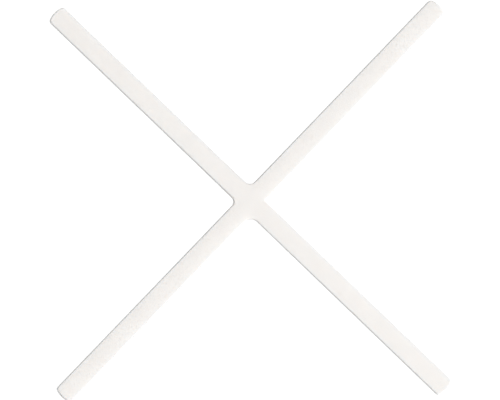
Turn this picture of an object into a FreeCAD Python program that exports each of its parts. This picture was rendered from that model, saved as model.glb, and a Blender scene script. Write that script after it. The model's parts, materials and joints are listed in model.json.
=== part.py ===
"""A cross-shaped tile spacer, moulded in one piece. Its four arms set the joint between four tile corners.

The cross lies flat with its foot on Z = 0 and its centre over the origin. The arms run along +X (east),
+Y (north), -X (west) and -Y (south), and the tile corners sit in the four notches between them.
Lengths are in millimetres and angles in degrees.
"""

import FreeCAD, Part
import Sketcher
import os

NODE = "tile_spacer"

# How far an edge may leave a height and still count as flat.
FLATNESS = 1e-4

# Driving sizes: cell name, value and what it is.
SIZES = [
    ("joint_width", 1.5, "width of an arm at its foot, which is the joint between two tiles"),
    ("arm_reach", 20.0, "from the centre of the cross to the tip of an arm"),
    ("body_height", 3.0, "from the foot to the top"),
    ("draft_angle", 0.5, "how far each side leans in, so that the piece leaves its mould"),
    ("tip_crown_radius", 1.6, "radius of the bowed end of an arm"),
    ("north_east_notch_radius", 0.52, "inside corner between the east and north arms"),
    ("north_west_notch_radius", 0.44, "inside corner between the north and west arms"),
    ("south_west_notch_radius", 0.66, "inside corner between the west and south arms"),
    ("south_east_notch_radius", 0.08, "inside corner between the south and east arms"),
    ("left_tip_corner_radius", 0.32, "left corner of every tip, looking out along its arm"),
    ("east_tip_right_corner_radius", 0.3, "right corner of the east tip"),
    ("north_tip_right_corner_radius", 0.12, "right corner of the north tip"),
    ("west_tip_right_corner_radius", 0.2, "right corner of the west tip"),
    ("south_tip_right_corner_radius", 0.12, "right corner of the south tip"),
    ("top_edge_radius", 0.08, "soft edge all round the top"),
    ("foot_edge_radius", 0.04, "faint edge all round the foot, where the mould closes"),
]

# The arms anticlockwise, and the notch that lies to the left of each.
ARMS = ["east", "north", "west", "south"]
NOTCHES = ["north_east", "north_west", "south_west", "south_east"]


def make_size_sheet(doc):
    """The spreadsheet that every feature reads its sizes from."""
    sheet = doc.addObject("Spreadsheet::Sheet", "sizes")
    for row, (name, value, meaning) in enumerate(SIZES, start=1):
        sheet.set(f"A{row}", name)
        sheet.set(f"B{row}", str(value))
        sheet.set(f"C{row}", meaning)
        sheet.setAlias(f"B{row}", name)
    doc.recompute()
    return sheet


def origin_feature(body, role):
    """A plane or an axis of the body's own origin."""
    return next(f for f in body.Origin.OriginFeatures if f.Role == role)


def tip_places(sheet):
    """Along an arm: where its bowed end has its centre, and where that end meets the straight sides."""
    middle = sheet.arm_reach - sheet.tip_crown_radius
    shoulder = middle + (sheet.tip_crown_radius**2 - (sheet.joint_width / 2) ** 2) ** 0.5
    return middle, shoulder


def draw_arm_outline(body):
    """The east arm seen from above: it starts inside the crossing and ends in a bowed tip."""
    sheet = body.Document.sizes
    half = sheet.joint_width / 2
    middle, shoulder = tip_places(sheet)

    sketch = body.newObject("Sketcher::SketchObject", "arm_outline")
    sketch.AttachmentSupport = [(origin_feature(body, "XY_Plane"), "")]
    sketch.MapMode = "FlatFace"

    south_back = FreeCAD.Vector(-half, -half, 0)
    south_shoulder = FreeCAD.Vector(shoulder, -half, 0)
    tip = FreeCAD.Vector(sheet.arm_reach, 0, 0)
    north_shoulder = FreeCAD.Vector(shoulder, half, 0)
    north_back = FreeCAD.Vector(-half, half, 0)

    south_side = sketch.addGeometry(Part.LineSegment(south_back, south_shoulder))
    end = sketch.addGeometry(Part.Arc(south_shoulder, tip, north_shoulder))
    north_side = sketch.addGeometry(Part.LineSegment(north_shoulder, north_back))
    back = sketch.addGeometry(Part.LineSegment(north_back, south_back))

    start, finish, centre = 1, 2, 3
    x_axis, origin = -1, -1
    add = sketch.addConstraint
    add(Sketcher.Constraint("Coincident", south_side, finish, end, start))
    add(Sketcher.Constraint("Coincident", end, finish, north_side, start))
    add(Sketcher.Constraint("Coincident", north_side, finish, back, start))
    add(Sketcher.Constraint("Coincident", back, finish, south_side, start))
    add(Sketcher.Constraint("Horizontal", south_side))
    add(Sketcher.Constraint("Horizontal", north_side))
    add(Sketcher.Constraint("Symmetric", back, start, back, finish, x_axis))
    add(Sketcher.Constraint("PointOnObject", end, centre, x_axis))
    bound = [
        (Sketcher.Constraint("DistanceY", back, finish, back, start, 2 * half), "sizes.joint_width"),
        (Sketcher.Constraint("DistanceX", back, start, origin, 1, half), "sizes.joint_width / 2"),
        (Sketcher.Constraint("Radius", end, sheet.tip_crown_radius), "sizes.tip_crown_radius"),
        (
            Sketcher.Constraint("DistanceX", origin, 1, end, centre, middle),
            "sizes.arm_reach - sizes.tip_crown_radius",
        ),
    ]
    for constraint, formula in bound:
        index = add(constraint)
        sketch.setExpression(f"Constraints[{index}]", formula)
    body.Document.recompute()
    return sketch


def raise_arms(body, outline):
    """One arm raised from its outline, and turned round the centre to make four."""
    doc = body.Document
    arm = body.newObject("PartDesign::Pad", "arm")
    arm.Profile = outline
    arm.setExpression("Length", "sizes.body_height")
    doc.recompute()

    arms = body.newObject("PartDesign::PolarPattern", "four_arms")
    arms.Originals = [arm]
    arms.Axis = (origin_feature(body, "Z_Axis"), [""])
    arms.Angle = 360
    arms.Occurrences = 4
    arms.Refine = True
    body.Tip = arms
    doc.recompute()


def lean_sides(body):
    """Every side leans in a little as it rises, about its line on the foot."""
    upright = [
        f"Face{number}"
        for number, face in enumerate(body.Tip.Shape.Faces, start=1)
        if face.BoundBox.ZLength > body.Tip.Shape.BoundBox.ZLength / 2
    ]
    base = body.Tip
    draft = body.newObject("PartDesign::Draft", "leaning_sides")
    draft.Base = (base, upright)
    draft.NeutralPlane = (origin_feature(body, "XY_Plane"), [""])
    draft.setExpression("Angle", "sizes.draft_angle")
    body.Tip = draft
    body.Document.recompute()


def edges_at_height(shape, height):
    """The names of the edges that lie flat at one height."""
    return [
        f"Edge{number}"
        for number, edge in enumerate(shape.Edges, start=1)
        if max(abs(edge.BoundBox.ZMin - height), abs(edge.BoundBox.ZMax - height)) < FLATNESS
    ]


def upright_edge_near(shape, spot):
    """The name of the upright edge whose middle is nearest to a spot, seen from above."""
    middles = {
        f"Edge{number}": edge.CenterOfMass
        for number, edge in enumerate(shape.Edges, start=1)
        if edge.BoundBox.ZLength > shape.BoundBox.ZLength / 2
    }
    return min(middles, key=lambda name: (middles[name].x - spot.x) ** 2 + (middles[name].y - spot.y) ** 2)


def turned(x, y, quarter_turns):
    """A spot turned anticlockwise about the centre by quarter turns."""
    return FreeCAD.Rotation(FreeCAD.Vector(0, 0, 1), 90 * quarter_turns).multVec(FreeCAD.Vector(x, y, 0))


def round_edges(body, name, edges, radius):
    """A fillet on named edges of the body as it stands, with its radius bound to a cell."""
    base = body.Tip
    fillet = body.newObject("PartDesign::Fillet", name)
    fillet.Base = (base, edges)
    fillet.setExpression("Radius", radius)
    body.Tip = fillet
    body.Document.recompute()


def round_corners(body):
    """The inside corners where the arms meet, and then the two corners of each tip."""
    sheet = body.Document.sizes
    half = sheet.joint_width / 2
    shoulder = tip_places(sheet)[1]
    for turns, notch in enumerate(NOTCHES):
        edge = upright_edge_near(body.Tip.Shape, turned(half, half, turns))
        round_edges(body, f"{notch}_notch", [edge], f"sizes.{notch}_notch_radius")
    left_corners = [upright_edge_near(body.Tip.Shape, turned(shoulder, half, turns)) for turns in range(4)]
    round_edges(body, "left_tip_corners", left_corners, "sizes.left_tip_corner_radius")
    for turns, arm in enumerate(ARMS):
        edge = upright_edge_near(body.Tip.Shape, turned(shoulder, -half, turns))
        round_edges(body, f"{arm}_tip_right_corner", [edge], f"sizes.{arm}_tip_right_corner_radius")


def soften_rims(body):
    """The soft edge round the top and the faint one round the foot."""
    height = body.Document.sizes.body_height
    round_edges(body, "top_edge", edges_at_height(body.Tip.Shape, height), "sizes.top_edge_radius")
    round_edges(body, "foot_edge", edges_at_height(body.Tip.Shape, 0), "sizes.foot_edge_radius")


def check_built(doc, body):
    """Stops if a feature failed or the finished solid isn't sound."""
    failed = [o.Name for o in doc.Objects if {"Invalid", "Error"} & set(o.State)]
    if failed:
        raise RuntimeError(f"these features failed: {failed}")
    shape = body.Shape
    if shape.isNull() or not shape.isValid() or len(shape.Solids) != 1:
        raise RuntimeError(f"{body.Label} is not one sound solid")


def main():
    doc = FreeCAD.newDocument("tile_spacer_model")
    make_size_sheet(doc)
    spacer = doc.addObject("PartDesign::Body", NODE)
    spacer.Label = NODE
    spacer.Placement = FreeCAD.Placement()
    raise_arms(spacer, draw_arm_outline(spacer))
    lean_sides(spacer)
    round_corners(spacer)
    soften_rims(spacer)
    doc.recompute()
    check_built(doc, spacer)

    os.makedirs("parts", exist_ok=True)
    spacer.Shape.exportStep(f"parts/{NODE}.step")
    box = spacer.Shape.optimalBoundingBox()
    print(
        f"{NODE}: {box.XLength:.3f} x {box.YLength:.3f} x {box.ZLength:.3f} mm,"
        f" volume {spacer.Shape.Volume:.2f} mm3, {len(spacer.Shape.Faces)} faces"
    )


main()
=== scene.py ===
"""A cross-shaped tile spacer of off-white moulded plastic, on a white light table and seen from above.

The spacer's outline is drawn once round, raised with leaning sides, and softened along both rims.
Lengths are in metres and angles in radians, unless a name says otherwise.
"""

import json
import math

import bmesh
import bpy
from bpy.props import FloatProperty, FloatVectorProperty, IntProperty, PointerProperty
from mathutils import Matrix, Vector


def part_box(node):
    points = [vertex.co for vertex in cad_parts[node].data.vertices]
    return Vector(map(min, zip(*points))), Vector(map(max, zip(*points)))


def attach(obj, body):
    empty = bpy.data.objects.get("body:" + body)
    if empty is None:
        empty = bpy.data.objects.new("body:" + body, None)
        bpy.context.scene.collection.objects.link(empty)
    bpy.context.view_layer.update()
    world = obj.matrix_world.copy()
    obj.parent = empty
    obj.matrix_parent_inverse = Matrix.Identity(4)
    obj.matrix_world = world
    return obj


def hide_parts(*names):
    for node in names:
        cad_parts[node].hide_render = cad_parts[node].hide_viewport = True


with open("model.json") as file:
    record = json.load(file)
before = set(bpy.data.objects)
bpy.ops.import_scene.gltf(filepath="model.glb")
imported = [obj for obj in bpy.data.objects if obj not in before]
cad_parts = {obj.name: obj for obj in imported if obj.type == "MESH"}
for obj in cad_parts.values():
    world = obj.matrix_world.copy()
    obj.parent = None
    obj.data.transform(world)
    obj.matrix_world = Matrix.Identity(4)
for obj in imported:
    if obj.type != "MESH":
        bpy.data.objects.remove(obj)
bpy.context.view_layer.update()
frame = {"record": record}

bl_info = {
    "name": "Tile spacer",
    "version": (1, 0, 0),
    "blender": (4, 5, 0),
    "location": "3D View > Sidebar > Tile spacer",
    "description": "Models a moulded tile spacer, its plastic and the light table that it lies on",
    "category": "Object",
}

NODE = "tile_spacer"
BODY = "root"
MM = 0.001
UP = Vector((0, 0, 1))
QUARTER_TURN = math.pi / 2
ARMS = 4
WHITE = (1, 1, 1, 1)

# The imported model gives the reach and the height. A face where a tile bears gives the width and the lean.
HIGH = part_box(NODE)[1]
BEARING = next(m for m in frame["record"]["mounts"] if m["name"] == "east_arm_north_side")
LEAN = math.asin(BEARING["axis"][2])
FOOT_WIDTH = 2 * (BEARING["pos_m"][1] + BEARING["pos_m"][2] * math.tan(LEAN))

# Radii for the east, north, west and south arm: the notch to its left, and its tip's corners.
NOTCHES = (0.52 * MM, 0.44 * MM, 0.66 * MM, 0.08 * MM)
LEFT_CORNERS = (0.32 * MM, 0.32 * MM, 0.32 * MM, 0.32 * MM)
RIGHT_CORNERS = (0.3 * MM, 0.12 * MM, 0.2 * MM, 0.12 * MM)

# How much further than the sides each of these arms' ends comes in at the top.
END_LEANS = (0.0, 0.03 * MM, 0.05 * MM, 0.0)

# Points closer than this are one point, and a face whose normal rises more than this is level.
TOUCHING = 0.001 * MM
LEVEL = 0.999

# Faces that meet at less than this are shaded as one surface. A bevel of this profile is a quarter circle.
SMOOTH_BELOW = math.radians(40)
ROUND_PROFILE = 0.5

# The plastic's index of refraction, and how far red, green and blue go under its skin beside one another.
PLASTIC_IOR = 1.5
SCATTER_SHARES = (1.0, 0.97, 0.94)

# The mottle's noise: how fine and how rough it is, and the two values that it mostly stays between.
MOTTLE_DETAIL = 3.0
MOTTLE_ROUGHNESS = 0.55
NOISE_LOW = 0.3
NOISE_HIGH = 0.7

# The acrylic of the light table, and the hair's breadth that it lies under the foot.
ACRYLIC_TONE = (0.2, 0.2, 0.2, 1)
ACRYLIC_ROUGHNESS = 0.7
FLOOR_GAP = 0.01 * MM

# From this many half widths out from the centre, an arm's rims have their full painted highlight tint.
CLEAR_OF_CROSSING = 3

# Places on nodes whose sockets share a name: a mixed shader's, and those that a mix node has for vectors.
SHADER_FACTOR, SHADER_FIRST, SHADER_SECOND = 0, 1, 2
VECTOR_FACTOR, VECTOR_FIRST, VECTOR_SECOND, VECTOR_RESULT = 0, 4, 5, 1

# The camera shows nothing nearer than this.
NEAREST_VIEW = 10 * MM

# The photograph's frame, and where the middle of the cross lies in it.
PICTURE_WIDTH_PX = 500
PICTURE_HEIGHT_PX = 400
CROSS_PX = (250.6, 200.9)
REACH_PX = 272.2
EAST_ARM_DEG = 46.13


def length(name, text, default, lowest=0.0):
    """A property that holds a length in metres."""
    return FloatProperty(
        name=name, description=text, default=default, min=lowest, unit="LENGTH", precision=5
    )


def lengths(name, text, default):
    """A property that holds four lengths in metres, one for each arm."""
    return FloatVectorProperty(
        name=name, description=text, default=default, size=ARMS, min=0.0, unit="LENGTH", precision=5
    )


def angle(name, text, default):
    """A property that holds an angle in radians."""
    return FloatProperty(name=name, description=text, default=default, subtype="ANGLE")


def colour(name, text, default):
    """A property that holds a colour."""
    return FloatVectorProperty(
        name=name, description=text, default=default, min=0.0, max=1.0, subtype="COLOR"
    )


def count(name, text, default):
    """A property that holds a whole number."""
    return IntProperty(name=name, description=text, default=default, min=2, max=64)


def power(name, text, default):
    """A property that holds a lamp's power in watts."""
    return FloatProperty(name=name, description=text, default=default, min=0.0, unit="POWER")


def plain(name, text, default, highest=100.0):
    """A property that holds a number with no unit."""
    return FloatProperty(name=name, description=text, default=default, min=0.0, max=highest)


class SpacerShape(bpy.types.PropertyGroup):
    """The sizes of the moulded cross."""

    reach: length("Reach", "From the centre to the tip of an arm", HIGH.x)
    width: length("Width", "Across an arm at its foot, which is the joint between two tiles", FOOT_WIDTH)
    height: length("Height", "From the foot to the top", HIGH.z)
    lean: angle("Lean", "How far each side leans in as it rises", LEAN)
    bow: length("Bow", "Radius of the bowed end of an arm", 1.6 * MM)
    notches: lengths("Notches", "Radii of the inside corners to the left of the arms", NOTCHES)
    left_corners: lengths("Left corners", "Radii of the left corners of the tips", LEFT_CORNERS)
    right_corners: lengths("Right corners", "Radii of the right corners of the tips", RIGHT_CORNERS)
    end_leans: lengths("End leans", "How much further the ends of the arms come in at the top", END_LEANS)
    top_edge: length("Top edge", "Radius of the soft edge round the top", 0.08 * MM)
    foot_edge: length("Foot edge", "Radius of the faint edge round the foot", 0.04 * MM)
    crown: length("Crown", "How far the top falls from the middle of an arm to its sides", 0.048 * MM)
    strips: count("Strips", "Strips across the crowned top of an arm", 12)
    arc_steps: count("Arc steps", "Edges in each small arc", 10)


class SpacerFinish(bpy.types.PropertyGroup):
    """The look of the moulded plastic."""

    tone: colour("Tone", "Colour of the plastic", (0.915, 0.885, 0.858))
    # The rim tint is a painted highlight: the paler, greyer colour of brightly lit rims and sides, fading
    # into the top over the rim fade.
    painted_rim_tint: colour("Painted rim tint", "Greyer colour of the arms at their rims and sides", (0.892, 0.885, 0.872))
    painted_rim_fade: length("Painted rim fade", "How far the greyer colour fades into the top", 0.34 * MM)
    scatter: length("Scatter", "How far light travels under the skin", 0.12 * MM)
    roughness: plain("Roughness", "Roughness of the skin", 0.7, 1.0)
    sheen_size: length("Sheen size", "Size of the duller and shinier patches of skin", 0.625 * MM)
    sheen_depth: plain("Sheen depth", "How far the roughness strays in those patches", 0.05, 1.0)
    grain_size: length("Grain size", "Size of the fine grain of the skin", 0.1 * MM)
    grain_depth: length("Grain depth", "Depth of the fine grain", 0.0035 * MM)
    cloud_size: length("Cloud size", "Size of the faint clouds in the tone", 2.5 * MM)
    cloud_depth: plain("Cloud depth", "How far the clouds lighten and darken the tone", 0.01, 1.0)


class SpacerStage(bpy.types.PropertyGroup):
    """The light table, the soft lamp, the even light and the camera."""

    floor_span: length("Floor span", "Width of the light table", 6.0)
    floor_glow: plain("Floor glow", "How bright the table looks", 0.97)
    floor_light: plain("Floor light", "How much of its light the table casts on the cross", 0.64)
    dome: plain("Dome", "Strength of the even light all round", 0.28)
    backdrop: plain("Backdrop", "How bright the room looks behind the table", 1.2)
    key_power: power("Key power", "Power of the soft lamp", 4.9)
    key_bearing: angle("Key bearing", "Direction of the soft lamp in the picture", math.radians(-32))
    key_height: angle("Key height", "How high the soft lamp stands over the table", math.radians(60))
    key_distance: length("Key distance", "From the cross to the soft lamp", 0.75)
    key_span: length("Key span", "Width of the soft lamp", 0.35)
    # A much longer lens would stand too far off for the views from the sides.
    lens_mm: plain("Lens", "Focal length of the camera, in millimetres", 1300.0, 1350.0)
    tilt: angle("Tilt", "How far the camera leans from straight above", math.radians(1.06))
    tilt_bearing: angle("Tilt bearing", "Direction in the picture to which it leans", math.radians(222))


def deselect_all():
    """Leaves edit mode if need be, and selects nothing."""
    if bpy.context.object and bpy.context.object.mode != "OBJECT":
        bpy.ops.object.mode_set(mode="OBJECT")
    bpy.ops.object.select_all(action="DESELECT")


def pick(kind, test):
    """In edit mode, selects the vertices, edges or faces that pass a test, and nothing else."""
    bpy.ops.mesh.select_all(action="DESELECT")
    bpy.ops.mesh.select_mode(type={"verts": "VERT", "edges": "EDGE", "faces": "FACE"}[kind])
    mesh = bmesh.from_edit_mesh(bpy.context.object.data)
    for part in getattr(mesh, kind):
        part.select_set(test(part))
    bmesh.update_edit_mesh(bpy.context.object.data)


def draw_to(step):
    """Draws a straight edge from the end of the line."""
    bpy.ops.mesh.extrude_region_move(TRANSFORM_OT_translate={"value": step})


def draw_round(centre, turn, steps):
    """Draws an arc from the end of the line about a centre, anticlockwise where the turn is positive."""
    bpy.ops.mesh.spin(steps=steps, angle=turn, center=centre, axis=-UP)


def arm_turn(arm):
    """The turn that brings the east arm onto another."""
    return Matrix.Rotation(arm * QUARTER_TURN, 3, "Z")


def corner_place(shape, radius):
    """How far along an arm a tip's corner has its centre, and the bearing where it meets the bowed end."""
    middle = shape.reach - shape.bow
    aside = shape.width / 2 - radius
    along = math.sqrt((shape.bow - radius) ** 2 - aside**2)
    return middle + along, math.atan2(aside, along)


def draw_arm(shape, arm):
    """Draws one arm's outline: out along its right side, round its bowed tip and back on its left side."""
    facing = arm_turn(arm)
    half = shape.width / 2
    right_notch, left_notch = half + shape.notches[arm - 1], half + shape.notches[arm]
    right, left = shape.right_corners[arm], shape.left_corners[arm]
    right_x, right_bearing = corner_place(shape, right)
    left_x, left_bearing = corner_place(shape, left)
    steps = shape.arc_steps

    def spot(x, y):
        return facing @ Vector((x, y, 0))

    draw_round(spot(right_notch, -right_notch), -QUARTER_TURN / 2, steps // 2)
    draw_to(spot(right_x - right_notch, 0))
    draw_round(spot(right_x, right - half), QUARTER_TURN - right_bearing, steps)
    draw_round(spot(shape.reach - shape.bow, 0), right_bearing + left_bearing, steps)
    draw_round(spot(left_x, half - left), QUARTER_TURN - left_bearing, steps)
    draw_to(spot(left_notch - left_x, 0))
    draw_round(spot(left_notch, left_notch), -QUARTER_TURN / 2, steps // 2)


def draw_outline(shape):
    """Draws the foot's outline once round, starting at the middle of a notch, and fills it."""
    bpy.ops.mesh.primitive_plane_add(size=shape.width)
    bpy.ops.object.mode_set(mode="EDIT")
    bpy.ops.mesh.select_mode(type="VERT")
    bpy.ops.mesh.merge(type="CENTER")
    start = shape.width / 2 + shape.notches[-1] * (1 - math.sqrt(0.5))
    bpy.ops.transform.translate(value=(start, -start, 0))
    for arm in range(ARMS):
        draw_arm(shape, arm)
    bpy.ops.mesh.select_all(action="SELECT")
    bpy.ops.mesh.remove_doubles(threshold=TOUCHING)
    bpy.ops.mesh.edge_face_add()
    bpy.ops.mesh.normals_make_consistent(inside=False)


def lean_in(shape):
    """How far the sides have come in at the top."""
    return shape.height * math.tan(shape.lean)


def raise_sides(shape):
    """Raises the filled outline to the top with leaning sides, and closes the foot."""
    mesh = bmesh.from_edit_mesh(bpy.context.object.data)
    if next(iter(mesh.faces)).normal.z < 0:
        bpy.ops.mesh.flip_normals()
    bpy.ops.mesh.inset(thickness=lean_in(shape), depth=shape.height, use_even_offset=True)
    pick("edges", lambda edge: edge.is_boundary)
    bpy.ops.mesh.edge_face_add()
    bpy.ops.mesh.select_all(action="SELECT")
    bpy.ops.mesh.normals_make_consistent(inside=False)


def lean_ends(shape):
    """Brings the tops of the arms' ends in further than the draft of the sides does."""
    for arm, come_in in enumerate(shape.end_leans):
        way = arm_turn(arm) @ Vector((1, 0, 0))
        pick("verts", lambda vert: vert.co.z > shape.height / 2 and vert.co.dot(way) > shape.reach / 2)
        bpy.ops.transform.translate(value=way * -come_in)


def soften_rim(level, radius, steps):
    """Rounds the edges that lie at one height."""
    pick("edges", lambda edge: all(abs(vert.co.z - level) < TOUCHING for vert in edge.verts))
    bpy.ops.mesh.bevel(
        offset=radius, segments=steps, profile=ROUND_PROFILE, affect="EDGES", clamp_overlap=False
    )


def cut_top(offset, across):
    """Cuts the flat top along a line at an offset from the centre."""
    pick("faces", lambda face: face.normal.z > LEVEL)
    bpy.ops.mesh.bisect(plane_co=across * offset, plane_no=across)


def crown_top(shape):
    """Cuts the top into strips along the arms, and lets it fall a little towards their sides."""
    half = shape.width / 2
    for strip in range(1, shape.strips):
        offset = shape.width * (strip / shape.strips - 0.5)
        cut_top(offset, Vector((1, 0, 0)))
        cut_top(offset, Vector((0, 1, 0)))
    mesh = bmesh.from_edit_mesh(bpy.context.object.data)
    for vert in mesh.verts:
        near, far = sorted((abs(vert.co.x), abs(vert.co.y)))
        if vert.co.z > shape.height / 2 and far > 0:
            # On an arm this is the distance from its middle, and in the crossing the two arms' blend.
            aside = near / (1 + (near / far) ** 4) ** 0.25
            vert.co.z -= shape.crown * (aside / half) ** 2
    bmesh.update_edit_mesh(bpy.context.object.data)


def shade_softly(piece):
    """Smooth shading that keeps the large faces flat."""
    bpy.ops.object.mode_set(mode="OBJECT")
    bpy.ops.object.shade_smooth_by_angle(angle=SMOOTH_BELOW)
    flat = piece.modifiers.new("flat faces", "WEIGHTED_NORMAL")
    flat.keep_sharp = True
    bpy.ops.object.modifier_apply(modifier=flat.name)


def add_link(tree, source, output, target, entry):
    """Links one node's output to another's input."""
    tree.links.new(source.outputs[output], target.inputs[entry])


def make_mottle_group():
    """A node group that turns a place on the piece into a soft uneven value between two limits."""
    group = bpy.data.node_groups.new("soft_mottle", "ShaderNodeTree")
    face = group.interface
    face.new_socket("Place", in_out="INPUT", socket_type="NodeSocketVector")
    face.new_socket("Scale", in_out="INPUT", socket_type="NodeSocketFloat")
    face.new_socket("Low", in_out="INPUT", socket_type="NodeSocketFloat")
    face.new_socket("High", in_out="INPUT", socket_type="NodeSocketFloat")
    face.new_socket("Value", in_out="OUTPUT", socket_type="NodeSocketFloat")
    start = group.nodes.new("NodeGroupInput")
    end = group.nodes.new("NodeGroupOutput")
    noise = group.nodes.new("ShaderNodeTexNoise")
    noise.inputs["Detail"].default_value = MOTTLE_DETAIL
    noise.inputs["Roughness"].default_value = MOTTLE_ROUGHNESS
    spread = group.nodes.new("ShaderNodeMapRange")
    spread.inputs["From Min"].default_value = NOISE_LOW
    spread.inputs["From Max"].default_value = NOISE_HIGH
    add_link(group, start, "Place", noise, "Vector")
    add_link(group, start, "Scale", noise, "Scale")
    add_link(group, noise, "Fac", spread, "Value")
    add_link(group, start, "Low", spread, "To Min")
    add_link(group, start, "High", spread, "To Max")
    add_link(group, spread, "Result", end, "Value")
    return group


def add_mottle(tree, group, place, size, low, high):
    """One use of the mottle group, with bumps of about the given size."""
    node = tree.nodes.new("ShaderNodeGroup")
    node.node_tree = group
    node.inputs["Scale"].default_value = 1 / size
    node.inputs["Low"].default_value = low
    node.inputs["High"].default_value = high
    add_link(tree, place, "Object", node, "Place")
    return node


def add_math(tree, operation, first, second):
    """A sum on two values, each of them a socket or a number."""
    node = tree.nodes.new("ShaderNodeMath")
    node.operation = operation
    for entry, value in enumerate((first, second)):
        if isinstance(value, (int, float)):
            node.inputs[entry].default_value = value
        else:
            tree.links.new(value, node.inputs[entry])
    return node.outputs["Value"]


def add_fade(tree, value, start, end):
    """A soft step, from 0 where a value is at its start to 1 where it is at its end."""
    node = tree.nodes.new("ShaderNodeMapRange")
    node.interpolation_type = "SMOOTHSTEP"
    node.inputs["From Min"].default_value = start
    node.inputs["From Max"].default_value = end
    tree.links.new(value, node.inputs["Value"])
    return node.outputs["Result"]


def add_painted_highlight_mask(tree, place, half_width, reach, fade):
    """A mask for the painted highlight tint, which is 1 along the rims of the arms, and 0 down their
    middles and over the crossing.
    """
    fold = tree.nodes.new("ShaderNodeVectorMath")
    fold.operation = "ABSOLUTE"
    axes = tree.nodes.new("ShaderNodeSeparateXYZ")
    add_link(tree, place, "Object", fold, "Vector")
    add_link(tree, fold, "Vector", axes, "Vector")
    across = add_math(tree, "MINIMUM", axes.outputs["X"], axes.outputs["Y"])
    along = add_math(tree, "MAXIMUM", axes.outputs["X"], axes.outputs["Y"])
    from_side = add_math(tree, "SUBTRACT", half_width, across)
    from_tip = add_math(tree, "SUBTRACT", reach, along)
    highlight_mask = add_fade(tree, add_math(tree, "MINIMUM", from_side, from_tip), fade, 0.0)
    arms = add_fade(tree, along, half_width, CLEAR_OF_CROSSING * half_width)
    return add_math(tree, "MULTIPLY", highlight_mask, arms)


def make_plastic(shape, finish):
    """Off-white moulded plastic: light passes a little way under a fine-grained satin skin, and the rims
    carry a painted highlight tint.
    """
    material = bpy.data.materials.new("moulded_plastic")
    material.use_nodes = True
    tree = material.node_tree
    skin = tree.nodes["Principled BSDF"]
    skin.inputs["Subsurface Weight"].default_value = 1.0
    skin.inputs["Subsurface Radius"].default_value = SCATTER_SHARES
    skin.inputs["Subsurface Scale"].default_value = finish.scatter
    skin.inputs["IOR"].default_value = PLASTIC_IOR

    place = tree.nodes.new("ShaderNodeTexCoord")
    mottle = make_mottle_group()
    come_in = lean_in(shape)
    # Painted highlight: the rims and sides of the arms are tinted the paler grey of brightly lit rims,
    # fading into the top.
    highlight_mask = add_painted_highlight_mask(tree, place, shape.width / 2 - come_in, shape.reach - come_in, finish.painted_rim_fade)
    tone_and_highlight = tree.nodes.new("ShaderNodeMix")
    tone_and_highlight.data_type = "VECTOR"
    tone_and_highlight.inputs[VECTOR_FIRST].default_value = finish.tone
    tone_and_highlight.inputs[VECTOR_SECOND].default_value = finish.painted_rim_tint
    tree.links.new(highlight_mask, tone_and_highlight.inputs[VECTOR_FACTOR])
    dark, light = 1 - finish.cloud_depth, 1 + finish.cloud_depth
    clouds = add_mottle(tree, mottle, place, finish.cloud_size, dark, light)
    tone = tree.nodes.new("ShaderNodeVectorMath")
    tone.operation = "SCALE"
    add_link(tree, tone_and_highlight, VECTOR_RESULT, tone, "Vector")
    add_link(tree, clouds, "Value", tone, "Scale")
    add_link(tree, tone, "Vector", skin, "Base Color")

    satin, dull = finish.roughness - finish.sheen_depth, finish.roughness + finish.sheen_depth
    sheen = add_mottle(tree, mottle, place, finish.sheen_size, satin, dull)
    add_link(tree, sheen, "Value", skin, "Roughness")

    grain = add_mottle(tree, mottle, place, finish.grain_size, 0.0, 1.0)
    bump = tree.nodes.new("ShaderNodeBump")
    bump.inputs["Distance"].default_value = finish.grain_depth
    add_link(tree, grain, "Value", bump, "Height")
    add_link(tree, bump, "Normal", skin, "Normal")
    return material


class MouldSpacer(bpy.types.Operator):
    """Models the moulded cross and gives it its plastic"""

    bl_idname = "mesh.mould_tile_spacer"
    bl_label = "Mould tile spacer"
    bl_options = {"REGISTER", "UNDO"}

    def execute(self, context):
        shape = context.scene.spacer_shape
        deselect_all()
        draw_outline(shape)
        piece = context.object
        piece.name = "spacer_body"
        raise_sides(shape)
        lean_ends(shape)
        soften_rim(shape.height, shape.top_edge, shape.arc_steps)
        soften_rim(0, shape.foot_edge, shape.arc_steps // 2)
        crown_top(shape)
        shade_softly(piece)
        piece.data.materials.append(make_plastic(shape, context.scene.spacer_finish))
        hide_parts(NODE)
        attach(piece, BODY)
        return {"FINISHED"}


def make_table_top(stage):
    """White acrylic lit from below, which looks brighter than it lights, and is clear from underneath."""
    material = bpy.data.materials.new("light_table")
    material.use_nodes = True
    tree = material.node_tree
    acrylic = tree.nodes["Principled BSDF"]
    acrylic.inputs["Base Color"].default_value = ACRYLIC_TONE
    acrylic.inputs["Roughness"].default_value = ACRYLIC_ROUGHNESS
    acrylic.inputs["Emission Color"].default_value = WHITE
    path = tree.nodes.new("ShaderNodeLightPath")
    glow = tree.nodes.new("ShaderNodeMapRange")
    glow.inputs["To Min"].default_value = stage.floor_light
    glow.inputs["To Max"].default_value = stage.floor_glow
    add_link(tree, path, "Is Camera Ray", glow, "Value")
    add_link(tree, glow, "Result", acrylic, "Emission Strength")
    clear = tree.nodes.new("ShaderNodeBsdfTransparent")
    side = tree.nodes.new("ShaderNodeNewGeometry")
    mix = tree.nodes.new("ShaderNodeMixShader")
    add_link(tree, side, "Backfacing", mix, SHADER_FACTOR)
    add_link(tree, acrylic, "BSDF", mix, SHADER_FIRST)
    add_link(tree, clear, "BSDF", mix, SHADER_SECOND)
    add_link(tree, mix, "Shader", tree.nodes["Material Output"], "Surface")
    return material


def add_floor(stage):
    """The light table, a hair below the foot."""
    deselect_all()
    bpy.ops.mesh.primitive_plane_add(size=stage.floor_span, location=-UP * FLOOR_GAP)
    floor = bpy.context.object
    floor.name = "light_table"
    floor.data.materials.append(make_table_top(stage))


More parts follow.
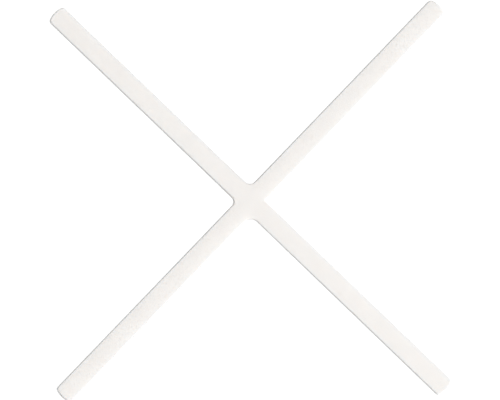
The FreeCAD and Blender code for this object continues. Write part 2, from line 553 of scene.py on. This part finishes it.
def add_dome(stage):
    """Even white light all round, which looks pure white behind the table."""
    world = bpy.data.worlds.new("white_room")
    bpy.context.scene.world = world
    world.use_nodes = True
    tree = world.node_tree
    room = tree.nodes["Background"]
    room.inputs["Color"].default_value = WHITE
    room.inputs["Strength"].default_value = stage.dome
    backdrop = tree.nodes.new("ShaderNodeBackground")
    backdrop.inputs["Color"].default_value = WHITE
    backdrop.inputs["Strength"].default_value = stage.backdrop
    path = tree.nodes.new("ShaderNodeLightPath")
    mix = tree.nodes.new("ShaderNodeMixShader")
    add_link(tree, path, "Is Camera Ray", mix, SHADER_FACTOR)
    add_link(tree, room, "Background", mix, SHADER_FIRST)
    add_link(tree, backdrop, "Background", mix, SHADER_SECOND)
    add_link(tree, mix, "Shader", tree.nodes["World Output"], "Surface")


def picture_way(bearing, height=0.0):
    """The way to a bearing in the picture, anticlockwise from its right, at a height over the table."""
    flat = Matrix.Rotation(bearing - math.radians(EAST_ARM_DEG), 3, "Z") @ Vector((1, 0, 0))
    return flat * math.cos(height) + UP * math.sin(height)


def add_key(stage):
    """The soft lamp at the right of the picture."""
    way = picture_way(stage.key_bearing, stage.key_height)
    bpy.ops.object.light_add(type="AREA", location=way * stage.key_distance)
    lamp = bpy.context.object
    lamp.name = "soft_lamp"
    lamp.rotation_mode = "QUATERNION"
    lamp.rotation_quaternion = way.to_track_quat("Z", "Y")
    lamp.data.shape = "DISK"
    lamp.data.size = stage.key_span
    lamp.data.energy = stage.key_power


def add_camera(stage):
    """The camera, nearly straight above, with the cross turned and placed as in the photograph."""
    right = picture_way(0)
    px = HIGH.x / REACH_PX
    aim = UP * HIGH.z
    aim += right * (PICTURE_WIDTH_PX / 2 - CROSS_PX[0]) * px
    aim += UP.cross(right) * (CROSS_PX[1] - PICTURE_HEIGHT_PX / 2) * px

    back = picture_way(stage.tilt_bearing, QUARTER_TURN - stage.tilt)
    up = back.cross(right).normalized()
    axes = Matrix((up.cross(back), up, back)).transposed()
    bpy.ops.object.camera_add(rotation=axes.to_euler())
    camera = bpy.context.object
    camera.name = "camera"
    camera.data.lens = stage.lens_mm
    camera.data.clip_start = NEAREST_VIEW
    distance = PICTURE_WIDTH_PX * px * camera.data.lens / camera.data.sensor_width
    camera.location = aim + back * distance
    bpy.context.scene.camera = camera


class SetSpacerStage(bpy.types.Operator):
    """Sets out the light table, the lights and the camera"""

    bl_idname = "scene.set_spacer_stage"
    bl_label = "Set spacer stage"
    bl_options = {"REGISTER", "UNDO"}

    def execute(self, context):
        stage = context.scene.spacer_stage
        context.scene.view_settings.view_transform = "Standard"
        add_floor(stage)
        add_dome(stage)
        add_key(stage)
        add_camera(stage)
        return {"FINISHED"}


class SpacerPanel(bpy.types.Panel):
    """Lists the steps that make the spacer, with their values"""

    bl_idname = "VIEW3D_PT_tile_spacer"
    bl_label = "Tile spacer"
    bl_space_type = "VIEW_3D"
    bl_region_type = "UI"
    bl_category = "Tile spacer"

    def draw(self, context):
        layout = self.layout
        layout.operator(MouldSpacer.bl_idname)
        layout.operator(SetSpacerStage.bl_idname)
        for group in ("spacer_shape", "spacer_finish", "spacer_stage"):
            values = getattr(context.scene, group)
            box = layout.box()
            for name in values.bl_rna.properties.keys():
                if name not in ("rna_type", "name"):
                    box.prop(values, name)


GROUPS = {"spacer_shape": SpacerShape, "spacer_finish": SpacerFinish, "spacer_stage": SpacerStage}
CLASSES = (*GROUPS.values(), MouldSpacer, SetSpacerStage, SpacerPanel)


def register():
    for item in CLASSES:
        bpy.utils.register_class(item)
    for name, group in GROUPS.items():
        setattr(bpy.types.Scene, name, PointerProperty(type=group))


def unregister():
    for name in GROUPS:
        delattr(bpy.types.Scene, name)
    for item in reversed(CLASSES):
        bpy.utils.unregister_class(item)


def main():
    register()
    bpy.ops.mesh.mould_tile_spacer()
    bpy.ops.scene.set_spacer_stage()


if __name__ == "__main__":
    main()
